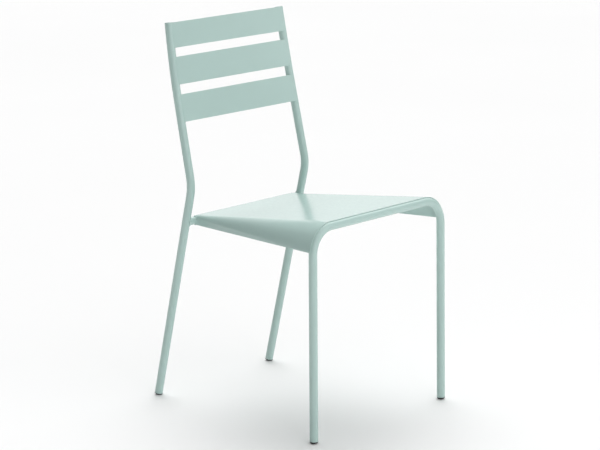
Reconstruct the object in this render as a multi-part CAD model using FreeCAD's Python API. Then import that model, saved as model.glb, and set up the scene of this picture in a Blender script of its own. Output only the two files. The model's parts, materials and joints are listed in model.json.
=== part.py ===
import FreeCAD, Part
import math
import os

# Stacking chair: a bent round steel tube frame, a folded sheet seat and three curved back slats.
# Millimetres. +X is the sitter's left, +Y points behind the chair, +Z is up.
# The origin is on the floor, in the middle of the chair's footprint.

V = FreeCAD.Vector

# ---- driving dimensions -------------------------------------------------------------------
TUBE_R = 9.0              # outer radius of every tube: 18 mm tube
WALL = 1.5                # tube wall
BORE_R = TUBE_R - WALL
SHEET = 1.5               # thickness of the seat sheet and of the slats
GAP = 0.06                # air between parts that are laid on each other and then welded

FRONT_Y = -250.8          # plane of the front frame
DEPTH = 502.6             # front frame plane to the rear feet, on the floor

RAIL_Z = 457.0            # centreline height of the front rail
RAIL_HALF = 205.2         # half spacing of the front legs at the rail
FOOT_HALF = 208.3         # half spacing of the front legs on the floor
FRONT_BEND_R = 54.0       # centreline radius, three tube diameters

REAR_FOOT_HALF = 179.4    # half spacing of the rear feet
POST_BEND = (181.2, 378.4, 492.2)   # corner of the rear post: half spacing, distance behind the rail, height
POST_BEND_R = 90.0        # centreline radius, five tube diameters
POST_SLOPE = (-0.0187, 0.214)       # inward and backward travel of the post per unit of height
POST_CURVE_Z = 675.0      # from here up the post is a long arc
POST_CURVE_R = 2180.0
POST_CURVE_TURN = 23.8    # degrees that the arc's centre lies inward of straight ahead
POST_TOP_Z = 843.7        # centre of the tube's cut end, under its cap
CAP_SIDE = 0.3            # straight side of the end cap
CAP_DOME = 0.7            # rise of its dome
CAP_SPIGOT = 5.0          # length of its spigot inside the tube

CROSS_Z = 412.0           # centreline height of the rear cross tube
SEAT_OVERHANG = 1.2       # the sheet runs this far past the front rail's centreline
SEAT_REAR_LIP = 1.5       # and this far past the cross tube's centreline
SEAT_REAR_HALF = 154.0    # half width of the seat at the back
SEAT_REAR_FOLD_R = 6.0    # outside radius of the side fold at the back
FLANGE_REAR_Z = 402.0     # lower edge of the side flange, back and front
FLANGE_FRONT_Z = 411.0
NOTCH_MOUTH = 3.0         # the notch for the cross tube opens downwards from this far before its centreline
FOLD_CLEARANCE = 0.5      # air over the frame's bend at the sheet's front edge, where the fold is widest
FOLD_END = 9.0            # degrees above level where the front fold turns into the flange

SLAT_HEIGHTS = {"upper": 54.7, "middle": 59.9, "lower": 59.9}
SPACE_ABOVE = {"upper": 0.2, "middle": 19.9, "lower": 21.7}    # to the posts' cut ends or the next slat
SLAT_SAG = 3.0            # depth of each slat's curve
SLAT_END = 6.0            # the slats stop this far inside the post's centreline, just clear of the tube
WELD_SHARE = 0.96         # part of a slat's height that is welded
WELD_FEATHER = 2.6        # the filled front runs out onto the tube this far inwards from the post's axis
WELD_BACK_END = 1.0       # the fillet behind stops this much sooner at each end
WELD_BACK_TOE = (11.0, 7.4)     # where the fillet meets the slat: inwards and forwards from the post's axis
WELD_BACK_HOLLOW = (8.8, 6.5)   # its middle
WELD_TUBE_TOE = (8.1, 3.4)      # and where it meets the tube, just inside its surface

GLIDE_DOME_R = 13.5       # radius of the glide's domed foot
GLIDE_RIM_R = 8.5         # where the dome turns into the rim
GLIDE_SIDE = 1.6          # straight side of the head
GLIDE_WEAR = 0.4          # flat pad on the floor, cut this deep into the dome
GLIDE_STEM = 20.0
GLIDE_STEM_R = 6.6
GLIDE_RIB_R = BORE_R - 0.05
GLIDE_RIBS = 3
GLIDE_RIB_PITCH = 5.0

SEAT_BEAD_R = 2.2         # weld beads
SEAT_BEAD_LENGTH = 30.0
SEAT_BEAD_PITCH = 70.0
CREASE = 6.4              # the beads under the seat lie this far behind or before a tube's top
BEAD_BITE = 0.5           # a bead's round side stands this far into the sheet before it is trimmed
RING_BEAD = 1.7


def mirror(shape):
    """The same shape on the other side of the chair."""
    return shape.mirror(V(0, 0, 0), V(1, 0, 0))


def behind_rail(x, distance, z):
    """A point given by its distance behind the front frame's plane."""
    return V(x, FRONT_Y + distance, z)


# ---- centrelines --------------------------------------------------------------------------
def rounded_corner(before, corner, after, radius):
    """Start, arc edge and end of a bend of the given radius at a corner."""
    back = (before - corner).normalize()
    ahead = (after - corner).normalize()
    half = back.getAngle(ahead) / 2
    start = corner + back * (radius / math.tan(half))
    end = corner + ahead * (radius / math.tan(half))
    middle_way = (back + ahead).normalize()
    crown = corner + middle_way * (radius / math.sin(half) - radius)
    return start, Part.Arc(start, crown, end).toShape(), end


def line(start, end):
    return Part.LineSegment(start, end).toShape()


def front_leg():
    """The left front leg's point on the floor, its direction, and where its line meets the rail's."""
    foot = V(FOOT_HALF, FRONT_Y, 0)
    corner = V(RAIL_HALF, FRONT_Y, RAIL_Z)
    return foot, (corner - foot).normalize(), corner


def front_bend():
    """Start, arc edge and end of the bend from the left front leg into the rail."""
    foot, _, corner = front_leg()
    return rounded_corner(foot, corner, V(0, FRONT_Y, RAIL_Z), FRONT_BEND_R)


def front_path():
    """One bent tube: leg, bend, rail, bend, leg."""
    foot, along_leg, _ = front_leg()
    start, bend, end = front_bend()
    rail_middle = V(0, FRONT_Y, RAIL_Z)
    half = [line(foot + along_leg * glide_seat(), start), bend, line(end, rail_middle)]
    other = [mirror(edge) for edge in half]
    return Part.Wire(Part.sortEdges(half + other)[0])


def post_directions():
    """Unit directions of the rear leg and of the straight part of the upright."""
    foot = behind_rail(REAR_FOOT_HALF, DEPTH, 0)
    corner = behind_rail(*POST_BEND)
    leg = (corner - foot).normalize()
    upright = V(POST_SLOPE[0], POST_SLOPE[1], 1).normalize()
    return foot, corner, leg, upright


def curve_start():
    """Start of the upright's long arc, its direction there, and the way to the arc's centre."""
    corner, upright = post_directions()[1::2]
    start = corner + upright * ((POST_CURVE_Z - corner.z) / upright.z)
    turn = math.radians(POST_CURVE_TURN)
    inward = V(-math.sin(turn), -math.cos(turn), 0)
    return start, upright, (inward - upright * inward.dot(upright)).normalize()


def curve_point(length):
    """A point and its direction on the upright's long arc, this far past the arc's start."""
    start, upright, inward = curve_start()
    angle = length / POST_CURVE_R
    point = start + upright * (POST_CURVE_R * math.sin(angle))
    point += inward * (POST_CURVE_R * (1 - math.cos(angle)))
    return point, upright * math.cos(angle) + inward * math.sin(angle)


def curve_length():
    """Length of the long arc up to the cut end of the post."""
    low, high = 0.0, 2 * (POST_TOP_Z - POST_CURVE_Z)
    while high - low > 1e-6:
        middle = (low + high) / 2
        if curve_point(middle)[0].z < POST_TOP_Z:
            low = middle
        else:
            high = middle
    return low


def post_path():
    """Rear leg, forward bend, straight upright and long arc, on the sitter's left."""
    foot, corner, leg, upright = post_directions()
    leg_end = foot + leg * glide_seat()
    start, bend, end = rounded_corner(foot, corner, corner + upright * 100, POST_BEND_R)
    length = curve_length()
    curve = [curve_point(part * length)[0] for part in (0, 0.5, 1)]
    edges = [line(leg_end, start), bend, line(end, curve[0]), Part.Arc(*curve).toShape()]
    return Part.Wire(edges)


# ---- tubes --------------------------------------------------------------------------------
def swept(path, radius):
    """A solid round bar along a path of lines and arcs."""
    spans = []
    for edge in path.OrderedEdges:
        start = edge.valueAt(edge.FirstParameter)
        end = edge.valueAt(edge.LastParameter)
        circle = Part.Circle(start, edge.tangentAt(edge.FirstParameter), radius).toShape()
        disc = Part.Face(Part.Wire([circle]))
        if edge.Curve.TypeId == "Part::GeomLine":
            spans.append(disc.extrude(end - start))
        else:
            angle = math.degrees(edge.LastParameter - edge.FirstParameter)
            spans.append(disc.revolve(edge.Curve.Center, edge.Curve.Axis, angle))
    if len(spans) == 1:
        return spans[0]
    return spans[0].multiFuse(spans[1:]).removeSplitter()


def tube(path):
    return swept(path, TUBE_R).cut(swept(path, BORE_R))


def leg_point_at(z):
    """The rear leg's axis at a height below its bend."""
    foot, _, leg, _ = post_directions()
    return foot + leg * ((z - foot.z) / leg.z)


def cross_bar(radius):
    """A round bar between the two rear legs."""
    end = leg_point_at(CROSS_Z)
    start = V(-end.x, end.y, end.z)
    return Part.makeCylinder(radius, 2 * end.x, start, V(1, 0, 0))


def cross_tube(post_bars):
    """The cross tube, its ends coped to fit the rear legs."""
    hollow = cross_bar(TUBE_R).cut(cross_bar(BORE_R))
    for bar in post_bars:
        hollow = hollow.cut(bar)
    return hollow


# ---- seat ---------------------------------------------------------------------------------
def seat_section(y, top_z, fold_x, fold_r, flange_x, flange_z, end_angle):
    """The edges of the folded sheet's outline in one plane across the chair, always in the same order."""
    outlines = []
    for inset in (0.0, SHEET):
        centre = V(fold_x, y, top_z - fold_r)
        angles = [math.radians(value) for value in (90, (90 + end_angle) / 2, end_angle)]
        fold = [centre + V(math.cos(a), 0, math.sin(a)) * (fold_r - inset) for a in angles]
        outlines.append((fold, V(flange_x - inset, y, flange_z)))
    edges = []
    for fold, low in outlines:
        edges += [Part.Arc(*fold).toShape(), line(fold[2], low)]
    edges.append(line(outlines[0][1], outlines[1][1]))
    edges += [mirror(edge) for edge in edges]
    return edges + [line(V(-fold[0].x, y, fold[0].z), fold[0]) for fold, _ in outlines]


def skin_between(edge, other):
    """The flat face between two lines in one plane, or else the ruled surface between two edges."""
    first, second = [[vertex.Point for vertex in side.Vertexes] for side in (edge, other)]
    corners = [first[0], first[1], second[1], second[0]]
    normal = (corners[1] - corners[0]).cross(corners[3] - corners[0]).normalize()
    straight = edge.Curve.TypeId == "Part::GeomLine"
    if straight and abs((corners[2] - corners[0]).dot(normal)) < 1e-6:
        return Part.Face(Part.makePolygon(corners + corners[:1]))
    return Part.makeRuledSurface(edge, other)


def folded_sheet(rear, front):
    """A solid between two sections whose edges match one by one."""
    skins = [skin_between(edge, other) for edge, other in zip(rear, front)]
    ends = [Part.Face(Part.Wire(Part.sortEdges(section)[0])) for section in (rear, front)]
    shell = Part.makeShell(skins + ends)
    shell.sewShape()
    solid = Part.makeSolid(shell)
    if solid.Volume < 0:
        solid.reverse()
    return solid


def seat_slope():
    """Fall of the seat for each millimetre towards the back."""
    rear = leg_point_at(CROSS_Z)
    return (RAIL_Z - rear.z) / (rear.y - FRONT_Y)


def seat_top_above(centre_z):
    """Top of the sheet over a tube's centreline."""
    lean = math.atan(seat_slope())
    return centre_z + (TUBE_R + GAP + SHEET) / math.cos(lean)


def seat_pan():
    """One sheet, folded down at both sides: a tight fold at the back that opens out to the front bend."""
    slope = seat_slope()
    cross = leg_point_at(CROSS_Z)
    fold_x = front_bend()[1].Curve.Center.x
    front_r = FRONT_BEND_R + TUBE_R + FOLD_CLEARANCE + SHEET
    front_top = seat_top_above(RAIL_Z) + slope * SEAT_OVERHANG
    end = math.radians(FOLD_END)
    drop = front_top - front_r + front_r * math.sin(end) - FLANGE_FRONT_Z
    flange_x = fold_x + front_r * math.cos(end) + drop * math.tan(end)
    front_y = FRONT_Y - SEAT_OVERHANG
    front = seat_section(front_y, front_top, fold_x, front_r, flange_x, FLANGE_FRONT_Z, FOLD_END)
    rear_top = seat_top_above(CROSS_Z) - slope * SEAT_REAR_LIP
    rear_fold_x = SEAT_REAR_HALF - SEAT_REAR_FOLD_R
    rear_y = cross.y + SEAT_REAR_LIP
    rear = seat_section(rear_y, rear_top, rear_fold_x, SEAT_REAR_FOLD_R, SEAT_REAR_HALF, FLANGE_REAR_Z, 0.0)
    return folded_sheet(rear, front).cut(cross_tube_notch(cross))


def cross_tube_notch(cross):
    """Room in the side flanges for the cross tube, open to the back and below."""
    width = 2 * cross.x
    radius = TUBE_R + GAP / 2
    bore = Part.makeCylinder(radius, width, V(-cross.x, cross.y, cross.z), V(1, 0, 0))
    mouth = V(-cross.x, cross.y - NOTCH_MOUTH, cross.z - 2 * TUBE_R)
    return bore.fuse(Part.makeBox(width, 2 * TUBE_R, 2 * TUBE_R, mouth))


# ---- back slats ---------------------------------------------------------------------------
class SlatPlace:
    """Where one slat sits: its middle height along the post, and the directions there."""

    def __init__(self, above, height):
        self.height = height
        self.post, self.along = curve_point(curve_length() - above - height / 2)
        self.up = V(0, self.along.y, self.along.z).normalize()
        self.forward = self.up.cross(V(1, 0, 0)).normalize()
        if self.forward.y > 0:
            self.forward = self.forward * -1

    def point(self, x, forward, up):
        """A point by its distance from the middle plane, and forward and up from the posts' axes."""
        middle = V(0, self.post.y, self.post.z)
        return middle + V(x, 0, 0) + self.forward * forward + self.up * up


def slat_places():
    """The three slats from the top down."""
    places = {}
    above = 0.0
    for name, height in SLAT_HEIGHTS.items():
        above += SPACE_ABOVE[name]
        places[name] = SlatPlace(above, height)
        above += height
    return places


def curved_strip(place, near, far, height, half_width):
    """A strip between two distances forward of the posts' axes, bowed backwards in the middle."""
    low = -height / 2
    sides = []
    for forward in (near, far):
        ends = [place.point(side * half_width, forward, low) for side in (-1, 1)]
        middle = place.point(0, forward - SLAT_SAG, low)
        sides.append((ends, Part.Arc(ends[0], middle, ends[1]).toShape()))
    (near_ends, near_arc), (far_ends, far_arc) = sides
    edges = [near_arc, line(near_ends[1], far_ends[1]), far_arc, line(far_ends[0], near_ends[0])]
    face = Part.Face(Part.Wire(Part.sortEdges(edges)[0]))
    return face.extrude(place.up * height)


def beyond_post(place, offset):
    """A big block on the sitter's left of a plane along the post, offset inwards from its axis."""
    size = 200.0
    normal = place.forward.cross(place.along).normalize()
    if normal.x < 0:
        normal = normal * -1
    corner = place.post - normal * offset
    frame = FreeCAD.Matrix(
        normal.x, place.forward.x, place.along.x, corner.x,
        normal.y, place.forward.y, place.along.y, corner.y,
        normal.z, place.forward.z, place.along.z, corner.z,
        0, 0, 0, 1)
    block = Part.makeBox(size, size, size, V(0, -size / 2, -size / 2))
    block.transformShape(frame)
    return block


def flush_strip(place, height):
    """A strip from post to post, its face flush with the fronts of the tubes."""
    return curved_strip(place, TUBE_R - SHEET, TUBE_R, height, place.post.x)


def slat(place):
    """A slat with its front flush with the fronts of the posts, ending just clear of them."""
    block = beyond_post(place, SLAT_END)
    return flush_strip(place, place.height).cut(block).cut(mirror(block))


def back_fillet(place, length):
    """The hollow fillet behind a slat along the left post, reaching into both of them."""
    forward = (place.forward - place.along * place.along.dot(place.forward)).normalize()
    inward = place.along.cross(forward)
    if inward.x > 0:
        inward = inward * -1
    start = place.post - place.along * (length / 2)

    def at(inward_mm, forward_mm):
        return start + inward * inward_mm + forward * forward_mm

    mid_sheet = TUBE_R - SHEET / 2
    inner = SLAT_END - 1
    toe, tube_toe = at(*WELD_BACK_TOE), at(*WELD_TUBE_TOE)
    corners = [tube_toe, at(inner, inner), at(inner, mid_sheet), at(WELD_BACK_TOE[0], mid_sheet), toe]
    edges = [line(first, second) for first, second in zip(corners, corners[1:])]
    edges.append(Part.Arc(toe, at(*WELD_BACK_HOLLOW), tube_toe).toShape())
    return Part.Face(Part.Wire(edges)).extrude(place.along * length)


def slat_weld(place, slat_solid, post_bar):
    """The weld between a slat and the left post: filled flush in front, a fillet behind."""
    length = WELD_SHARE * place.height
    filler = flush_strip(place, length).common(beyond_post(place, SLAT_END))
    filler = filler.cut(beyond_post(place, WELD_FEATHER))
    weld = filler.fuse(back_fillet(place, length - 2 * WELD_BACK_END))
    return biggest(weld.cut(post_bar).cut(slat_solid))


# ---- glides and caps ----------------------------------------------------------------------
def glide_dome_centre():
    """Distance up a leg's axis from the floor to the centre of the glide's dome."""
    return GLIDE_DOME_R - GLIDE_WEAR


def glide_rim():
    """Distance from the dome's centre down to the edge where the dome starts."""
    return math.sqrt(GLIDE_DOME_R ** 2 - GLIDE_RIM_R ** 2)


def glide_seat():
    """Distance up a leg's axis from the floor to the tube's cut end."""
    chamfer = TUBE_R - GLIDE_RIM_R
    return glide_dome_centre() - glide_rim() + chamfer + GLIDE_SIDE


def polyline(points):
    """Edges through half-profile points (radius, height)."""
    corners = [V(radius, 0, height) for radius, height in points]
    return [line(start, end) for start, end in zip(corners, corners[1:])]


def revolved(edges, base, axis):
    """A solid turned about an axis from the closed half-profile's edges."""
    profile = Part.Face(Part.Wire(edges))
    solid = profile.revolve(V(0, 0, 0), V(0, 0, 1), 360)
    solid.Placement = FreeCAD.Placement(base, FreeCAD.Rotation(V(0, 0, 1), axis))
    return solid


def stem_profile(seat):
    """Half-profile of the ribbed stem, from the tube's end upwards."""
    profile = [(TUBE_R, seat), (GLIDE_STEM_R, seat)]
    for rib in range(GLIDE_RIBS):
        base = seat + 2.0 + rib * GLIDE_RIB_PITCH
        profile += [(GLIDE_STEM_R, base), (GLIDE_RIB_R, base + 0.6), (GLIDE_RIB_R, base + 1.2)]
        profile += [(GLIDE_STEM_R, base + 2.6)]
    top = seat + GLIDE_STEM
    lead_in = 1.5
    return profile + [(GLIDE_STEM_R, top - lead_in), (GLIDE_STEM_R - lead_in, top), (0, top)]


def glide(floor_point, axis):
    """A moulded plug: domed head with a flat pad, and a ribbed stem pressed into the tube."""
    rim = glide_dome_centre() - glide_rim()
    chamfer = TUBE_R - GLIDE_RIM_R
    profile = [(0, rim), (GLIDE_RIM_R, rim), (TUBE_R, rim + chamfer)] + stem_profile(glide_seat())
    body = revolved(polyline(profile + profile[:1]), floor_point, axis)
    dome = Part.makeSphere(GLIDE_DOME_R, floor_point + axis * glide_dome_centre())
    below_rim = Part.makeCylinder(TUBE_R, GLIDE_DOME_R, floor_point + axis * rim, axis * -1)
    size = 4 * TUBE_R
    floor = Part.makeBox(size, size, size, floor_point - V(size / 2, size / 2, size))
    return body.fuse(dome.common(below_rim)).cut(floor).removeSplitter()


def end_cap(base, axis):
    """A shallow domed steel cap with a short spigot in the tube."""
    dome_r = (TUBE_R ** 2 + CAP_DOME ** 2) / (2 * CAP_DOME)
    top = CAP_SIDE + CAP_DOME
    half_r = TUBE_R / 2
    half_z = top - dome_r + math.sqrt(dome_r ** 2 - half_r ** 2)
    below = [(0, top), (0, -CAP_SPIGOT), (GLIDE_RIB_R, -CAP_SPIGOT), (GLIDE_RIB_R, 0)]
    below += [(TUBE_R, 0), (TUBE_R, CAP_SIDE)]
    dome = Part.Arc(V(TUBE_R, 0, CAP_SIDE), V(half_r, 0, half_z), V(0, 0, top)).toShape()
    return revolved(polyline(below) + [dome], base, axis)


# ---- weld beads ---------------------------------------------------------------------------
def rounded_bar(start, direction, length, radius):
    """A bar with ball ends."""
    bar = Part.makeCylinder(radius, length, start, direction)
    for end in (start, start + direction * length):
        bar = bar.fuse(Part.makeSphere(radius, end))
    return bar


def biggest(shape):
    return max(shape.Solids, key=lambda solid: solid.Volume)


def stitches(centre_y, centre_z, neighbours):
    """Four short beads in a row across the chair."""
    beads = []
    for place in (-1.5, -0.5, 0.5, 1.5):
        start = V(place * SEAT_BEAD_PITCH - SEAT_BEAD_LENGTH / 2, centre_y, centre_z)
        bead = rounded_bar(start, V(1, 0, 0), SEAT_BEAD_LENGTH, SEAT_BEAD_R)
        for part in neighbours:
            bead = bead.cut(part)
        beads.append(biggest(bead))
    return Part.makeCompound(beads)


def bend_bead(neighbours):
    """Two beads between the seat's fold and the left bend of the front frame."""
    radius = FRONT_BEND_R + CREASE + BEAD_BITE
    centre = front_bend()[1].Curve.Center + V(0, CREASE, 0)
    beads = []
    for low, high in ((14, 38), (54, 78)):
        angles = [math.radians(value) for value in (low, (low + high) / 2, high)]
        points = [centre + V(radius * math.cos(a), 0, radius * math.sin(a)) for a in angles]
        bead = swept(Part.Wire([Part.Arc(*points).toShape()]), SEAT_BEAD_R)
        for part in neighbours:
            bead = bead.cut(part)
        beads.append(biggest(bead))
    return Part.makeCompound(beads)


def cross_tube_bead():
    """The ring of weld where the cross tube meets the left rear leg."""
    reach = 20.0
    joint = leg_point_at(CROSS_Z)
    start = joint - V(reach, 0, 0)
    ring = Part.makeCylinder(TUBE_R + RING_BEAD, reach - 1.0, start, V(1, 0, 0))
    ring = ring.cut(cross_bar(TUBE_R))
    leg = post_directions()[2]
    low = joint - leg * reach
    thin, fat = [Part.makeCylinder(r, 2 * reach, low, leg) for r in (TUBE_R, TUBE_R + RING_BEAD)]
    return biggest(ring.common(fat).cut(thin))


def flange_bead(pan):
    """The ring of weld on the outside of the left flange, around the cross tube."""
    cross = leg_point_at(CROSS_Z)
    centre = V(SEAT_REAR_HALF + 0.9, cross.y, cross.z)
    ring = Part.makeTorus(TUBE_R + 0.3, RING_BEAD, centre, V(1, 0, 0))
    front = Part.makeBox(8, TUBE_R + 8, 4 * TUBE_R, centre - V(4, TUBE_R + 8, 2 * TUBE_R))
    return biggest(ring.common(front).cut(cross_bar(TUBE_R)).cut(pan))


# ---- the chair ----------------------------------------------------------------------------
def seat_welds(front_bar, pan):
    """The short beads under the sheet, along the front frame and the cross tube."""
    slope = seat_slope()
    cross = leg_point_at(CROSS_Z)
    depth = SHEET + SEAT_BEAD_R - BEAD_BITE
    rail_z = seat_top_above(RAIL_Z) - slope * CREASE - depth
    cross_z = seat_top_above(CROSS_Z) + slope * CREASE - depth
    return {
        "seat_weld_front_rail": stitches(FRONT_Y + CREASE, rail_z, [front_bar, pan]),
        "seat_weld_cross_tube": stitches(cross.y - CREASE, cross_z, [cross_bar(TUBE_R), pan]),
        "seat_weld_bend_left": bend_bead([front_bar, pan]),
    }


def build():
    """Every part by name. The right-hand ones are mirror images of the left-hand ones."""
    front_bar = swept(front_path(), TUBE_R)
    left_bar = swept(post_path(), TUBE_R)
    foot, _, leg, _ = post_directions()
    pan = seat_pan()
    parts = {
        "front_frame": tube(front_path()),
        "rear_post_left": tube(post_path()),
        "rear_cross_tube": cross_tube([left_bar, mirror(left_bar)]),
        "seat_pan": pan,
        "foot_glide_front_left": glide(*front_leg()[:2]),
        "foot_glide_rear_left": glide(foot, leg),
        "post_cap_left": end_cap(*curve_point(curve_length())),
        "flange_weld_left": flange_bead(pan),
        "cross_tube_weld_left": cross_tube_bead(),
    }
    parts.update(seat_welds(front_bar, pan))
    for name, place in slat_places().items():
        parts["back_slat_" + name] = slat(place)
        parts["slat_weld_" + name + "_left"] = slat_weld(place, parts["back_slat_" + name], left_bar)
    for name in [name for name in parts if name.endswith("_left")]:
        parts[name[:-len("left")] + "right"] = mirror(parts[name])
    return parts


def main():
    os.makedirs("parts", exist_ok=True)
    box = FreeCAD.BoundBox()
    for name, shape in build().items():
        solids = shape.Solids
        assert shape.isValid() and solids, name
        shape = solids[0] if len(solids) == 1 else Part.makeCompound(solids)
        shape.exportStep("parts/" + name + ".step")
        box.add(shape.optimalBoundingBox())
        print(name, len(solids), "solid(s),", round(shape.Volume / 1000, 2), "cm3")
    print("box", [round(value, 2) for value in (box.XMin, box.XMax, box.YMin, box.YMax, box.ZMin, box.ZMax)])


main()
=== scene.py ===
import json
import math

import bpy
from mathutils import Matrix, Vector


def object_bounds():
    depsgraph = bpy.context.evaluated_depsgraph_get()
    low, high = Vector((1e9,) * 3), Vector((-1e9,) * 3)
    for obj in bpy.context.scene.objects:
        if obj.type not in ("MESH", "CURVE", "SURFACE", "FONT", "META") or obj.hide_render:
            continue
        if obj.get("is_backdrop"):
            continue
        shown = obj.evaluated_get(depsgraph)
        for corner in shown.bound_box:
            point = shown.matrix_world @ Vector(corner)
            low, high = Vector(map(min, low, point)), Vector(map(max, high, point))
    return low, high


# Looks of the stacking chair: powder-coated steel frame, seat and slats on black plastic glides.
# Metres, in the same frame as the CAD: +X is the sitter's left, +Y points behind the chair, +Z is up.

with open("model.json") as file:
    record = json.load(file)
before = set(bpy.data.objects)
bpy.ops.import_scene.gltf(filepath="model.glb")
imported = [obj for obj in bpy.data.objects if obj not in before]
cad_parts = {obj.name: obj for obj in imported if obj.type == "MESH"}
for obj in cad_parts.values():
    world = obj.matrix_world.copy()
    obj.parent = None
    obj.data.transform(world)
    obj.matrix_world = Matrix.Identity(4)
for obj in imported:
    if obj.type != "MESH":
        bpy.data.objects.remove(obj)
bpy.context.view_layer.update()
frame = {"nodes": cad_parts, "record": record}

# ---- driving values -----------------------------------------------------------------------
COAT_COLOUR = (0.45, 0.605, 0.57)     # linear colour of the powder coat
GLIDE_COLOUR = (0.012, 0.012, 0.013)
FLOOR_COLOUR = (0.86, 0.86, 0.86)

VIEW_AZIMUTH = -46.84                 # degrees; 0 looks along +Y
VIEW_ELEVATION = 12.85
VIEW_ROLL = -0.69
VIEW_DISTANCE = 4.923
VIEW_TARGET = (-0.0038, -0.0263, 0.4003)
LENS = 135.18                         # mm, on a 36 mm sensor

# Where the surroundings are bright: azimuth and elevation in degrees, sharpness, strength.
GLOWS = (
    (0, 90, 3.0, 0.7),       # overhead, for the whole room
    (135, 60, 12.0, 4.0),    # main light, high behind the sitter's left
    (135, 35, 12.0, 0.8),    # its lower edge
    (135, 8, 30.0, 1.0),     # low behind: what the seat mirrors
    (100, 35, 12.0, 1.0),    # the sitter's left, for the side of the legs
    (-25, 35, 12.0, 1.4),    # fill from the front, on the sitter's right
    (20, 35, 12.0, 1.0),     # and on the left
    (30, 6, 45.0, 3.0),      # low in front: brightens the far ends of the slats
)

COAT_SLOT = "powder_coat"
GLIDE_SLOT = "glide_plastic"
MM = 0.001

FLOOR_HALF = 30.0                     # half the side of the studio floor
SCUFF_HEIGHT = 3 * MM                 # the glides are scuffed up to here
SCUFF_PALENESS = 5.0                  # scuffed plastic is this many times lighter
AIM = (0, 0, 0.4)                     # softboxes point here, the middle of the chair


# ---- small helpers for node trees ---------------------------------------------------------
class Nodes:
    """A material and short calls that add nodes and links to it."""

    def __init__(self, name):
        self.material = bpy.data.materials.new(name)
        self.material.use_nodes = True
        self.tree = self.material.node_tree
        self.shader = self.tree.nodes["Principled BSDF"]
        self.place = self.add("ShaderNodeTexCoord").outputs["Object"]

    def add(self, kind, **settings):
        node = self.tree.nodes.new(kind)
        for key, value in settings.items():
            setattr(node, key, value)
        return node

    def link(self, start, end):
        self.tree.links.new(start, end)

    def noise(self, scale, detail=2.0, roughness=0.5):
        node = self.add("ShaderNodeTexNoise")
        self.link(self.place, node.inputs["Vector"])
        node.inputs["Scale"].default_value = scale
        node.inputs["Detail"].default_value = detail
        node.inputs["Roughness"].default_value = roughness
        return node.outputs["Fac"]

    def cells(self, scale):
        node = self.add("ShaderNodeTexVoronoi", feature="SMOOTH_F1")
        self.link(self.place, node.inputs["Vector"])
        node.inputs["Scale"].default_value = scale
        return node.outputs["Distance"]

    def remap(self, value, from_low, from_high, to_low, to_high):
        node = self.add("ShaderNodeMapRange")
        self.link(value, node.inputs["Value"])
        node.inputs["From Min"].default_value = from_low
        node.inputs["From Max"].default_value = from_high
        node.inputs["To Min"].default_value = to_low
        node.inputs["To Max"].default_value = to_high
        return node.outputs["Result"]

    def mix(self, factor, first, second):
        node = self.add("ShaderNodeMix", data_type="RGBA")
        self.link(factor, node.inputs["Factor"])
        node.inputs["A"].default_value = (*first, 1)
        node.inputs["B"].default_value = (*second, 1)
        return node.outputs["Result"]

    def bump(self, height, distance, strength, normal=None):
        node = self.add("ShaderNodeBump")
        self.link(height, node.inputs["Height"])
        node.inputs["Distance"].default_value = distance
        node.inputs["Strength"].default_value = strength
        if normal is not None:
            self.link(normal, node.inputs["Normal"])
        return node.outputs["Normal"]


def scaled(colour, factor):
    return tuple(channel * factor for channel in colour)


# ---- materials ----------------------------------------------------------------------------
def powder_coat():
    """Satin powder coat: faint orange peel, a fine grain, and slow changes of tone and gloss."""
    m = Nodes("powder_coat_looks")
    tone = m.noise(9.0, 3.0)
    grain = m.noise(1400.0, 2.0)
    colour = m.mix(m.remap(tone, 0.3, 0.7, 0.0, 1.0), scaled(COAT_COLOUR, 0.985), scaled(COAT_COLOUR, 1.015))
    m.link(colour, m.shader.inputs["Base Color"])
    m.link(m.remap(m.noise(160.0, 3.0), 0.3, 0.7, 0.17, 0.23), m.shader.inputs["Roughness"])
    peel = m.bump(m.noise(420.0, 1.0), 0.06 * MM, 0.35)
    m.link(m.bump(grain, 0.02 * MM, 0.25, peel), m.shader.inputs["Normal"])
    m.shader.inputs["IOR"].default_value = 1.5
    return m.material


def glide_plastic():
    """Matt black moulded polyamide with a fine spark-eroded grain and scuffs from the floor."""
    m = Nodes("glide_plastic_looks")
    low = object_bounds()[0][2]
    height = m.add("ShaderNodeSeparateXYZ")
    m.link(m.place, height.inputs["Vector"])
    near_floor = m.remap(height.outputs["Z"], low, low + SCUFF_HEIGHT, 1.0, 0.0)
    scuffs = m.add("ShaderNodeMath", operation="MULTIPLY")
    m.link(near_floor, scuffs.inputs[0])
    m.link(m.remap(m.noise(900.0, 4.0), 0.45, 0.65, 0.0, 1.0), scuffs.inputs[1])
    colour = m.mix(scuffs.outputs["Value"], GLIDE_COLOUR, scaled(GLIDE_COLOUR, SCUFF_PALENESS))
    m.link(colour, m.shader.inputs["Base Color"])
    m.link(m.remap(m.noise(300.0), 0.3, 0.7, 0.5, 0.65), m.shader.inputs["Roughness"])
    m.link(m.bump(m.cells(2500.0), 0.03 * MM, 0.5), m.shader.inputs["Normal"])
    return m.material


def dress(material, slot):
    """Puts a material on every CAD node of one slot of the record."""
    for subpart in frame["record"]["subparts"]:
        if subpart["material_slot"] == slot:
            node = frame["nodes"][subpart["node"]]
            node.data.materials.clear()
            node.data.materials.append(material)


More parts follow.
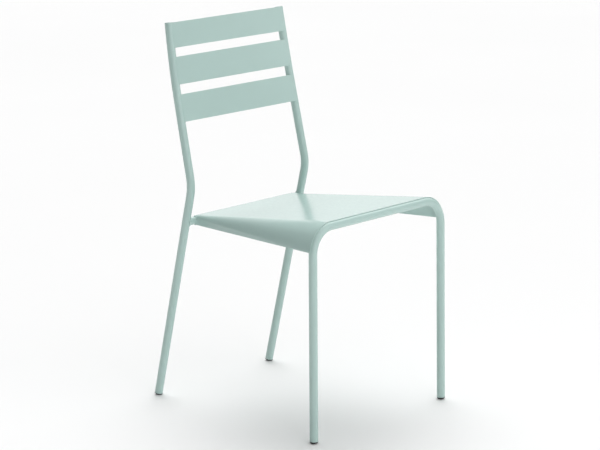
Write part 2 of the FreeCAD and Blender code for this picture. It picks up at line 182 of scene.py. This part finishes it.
# ---- studio -------------------------------------------------------------------------------
def floor():
    """A wide, plain pale floor."""
    half = FLOOR_HALF
    mesh = bpy.data.meshes.new("studio_floor")
    corners = [(-half, -half, 0), (half, -half, 0), (half, half, 0), (-half, half, 0)]
    mesh.from_pydata(corners, [], [(0, 1, 2, 3)])
    obj = bpy.data.objects.new("studio_floor", mesh)
    bpy.context.scene.collection.objects.link(obj)
    m = Nodes("floor_looks")
    tone = m.remap(m.noise(0.8, 3.0), 0.3, 0.7, 0.0, 1.0)
    m.link(m.mix(tone, scaled(FLOOR_COLOUR, 0.99), FLOOR_COLOUR), m.shader.inputs["Base Color"])
    m.shader.inputs["Roughness"].default_value = 0.9
    m.shader.inputs["Specular IOR Level"].default_value = 0.1
    mesh.materials.append(m.material)
    obj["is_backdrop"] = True


def softbox(name, azimuth, elevation, distance, size, power):
    """A square area light, aimed at the middle of the chair."""
    light = bpy.data.lights.new(name, "AREA")
    light.shape = "SQUARE"
    light.size = size
    light.energy = power
    obj = bpy.data.objects.new(name, light)
    bpy.context.scene.collection.objects.link(obj)
    direction = pointing(azimuth, elevation)
    obj.location = Vector(AIM) + direction * distance
    obj.rotation_euler = direction.to_track_quat("Z", "Y").to_euler()
    obj.visible_camera = False


def pointing(azimuth, elevation):
    """A unit direction. Azimuth 0 points to the front of the chair, 90 to the sitter's left, 180 behind."""
    across, up = math.radians(azimuth), math.radians(elevation)
    return Vector((math.sin(across) * math.cos(up), -math.cos(across) * math.cos(up), math.sin(up)))


def studio_air(glows):
    """White surroundings that are brightest in a few directions, listed as in GLOWS."""
    world = bpy.data.worlds.new("studio_air")
    bpy.context.scene.world = world
    world.use_nodes = True
    tree = world.node_tree
    direction = tree.nodes.new("ShaderNodeTexCoord").outputs["Generated"]
    glow_sum = None
    for azimuth, elevation, sharpness, strength in glows:
        facing = tree.nodes.new("ShaderNodeVectorMath")
        facing.operation = "DOT_PRODUCT"
        facing.inputs[1].default_value = pointing(azimuth, elevation)
        tree.links.new(direction, facing.inputs[0])
        glow = chain(tree, "MAXIMUM", facing.outputs["Value"], 0.0)
        glow = chain(tree, "POWER", glow, sharpness)
        glow = chain(tree, "MULTIPLY", glow, strength)
        glow_sum = glow if glow_sum is None else chain(tree, "ADD", glow, glow_sum)
    background = tree.nodes["Background"]
    background.inputs["Color"].default_value = (1, 1, 1, 1)
    tree.links.new(glow_sum, background.inputs["Strength"])


def chain(tree, operation, value, other):
    """One math node after another; other is a number or a socket."""
    node = tree.nodes.new("ShaderNodeMath")
    node.operation = operation
    tree.links.new(value, node.inputs[0])
    if isinstance(other, float):
        node.inputs[1].default_value = other
    else:
        tree.links.new(other, node.inputs[1])
    return node.outputs["Value"]


def camera():
    """The camera stands in front of the chair on the sitter's right and looks slightly down."""
    across, up, roll = [math.radians(value) for value in (VIEW_AZIMUTH, VIEW_ELEVATION, VIEW_ROLL)]
    right = Vector((math.cos(across), math.sin(across), 0))
    back = Vector((math.sin(across) * math.cos(up), -math.cos(across) * math.cos(up), math.sin(up)))
    above = back.cross(right)
    x_axis = right * math.cos(roll) + above * math.sin(roll)
    y_axis = above * math.cos(roll) - right * math.sin(roll)
    data = bpy.data.cameras.new("camera")
    data.lens = LENS
    data.sensor_width = 36.0
    data.sensor_fit = "HORIZONTAL"
    data.clip_end = 200.0
    obj = bpy.data.objects.new("camera", data)
    bpy.context.scene.collection.objects.link(obj)
    rotation = Matrix((x_axis, y_axis, back)).transposed().to_4x4()
    obj.matrix_world = Matrix.Translation(Vector(VIEW_TARGET) + back * VIEW_DISTANCE) @ rotation
    bpy.context.scene.camera = obj


camera()
floor()
bpy.context.scene.view_settings.view_transform = "Standard"
studio_air(GLOWS)
softbox("narrow_front_softbox", -25, 12, 3.2, 0.5, 7.0)

dress(powder_coat(), COAT_SLOT)
dress(glide_plastic(), GLIDE_SLOT)
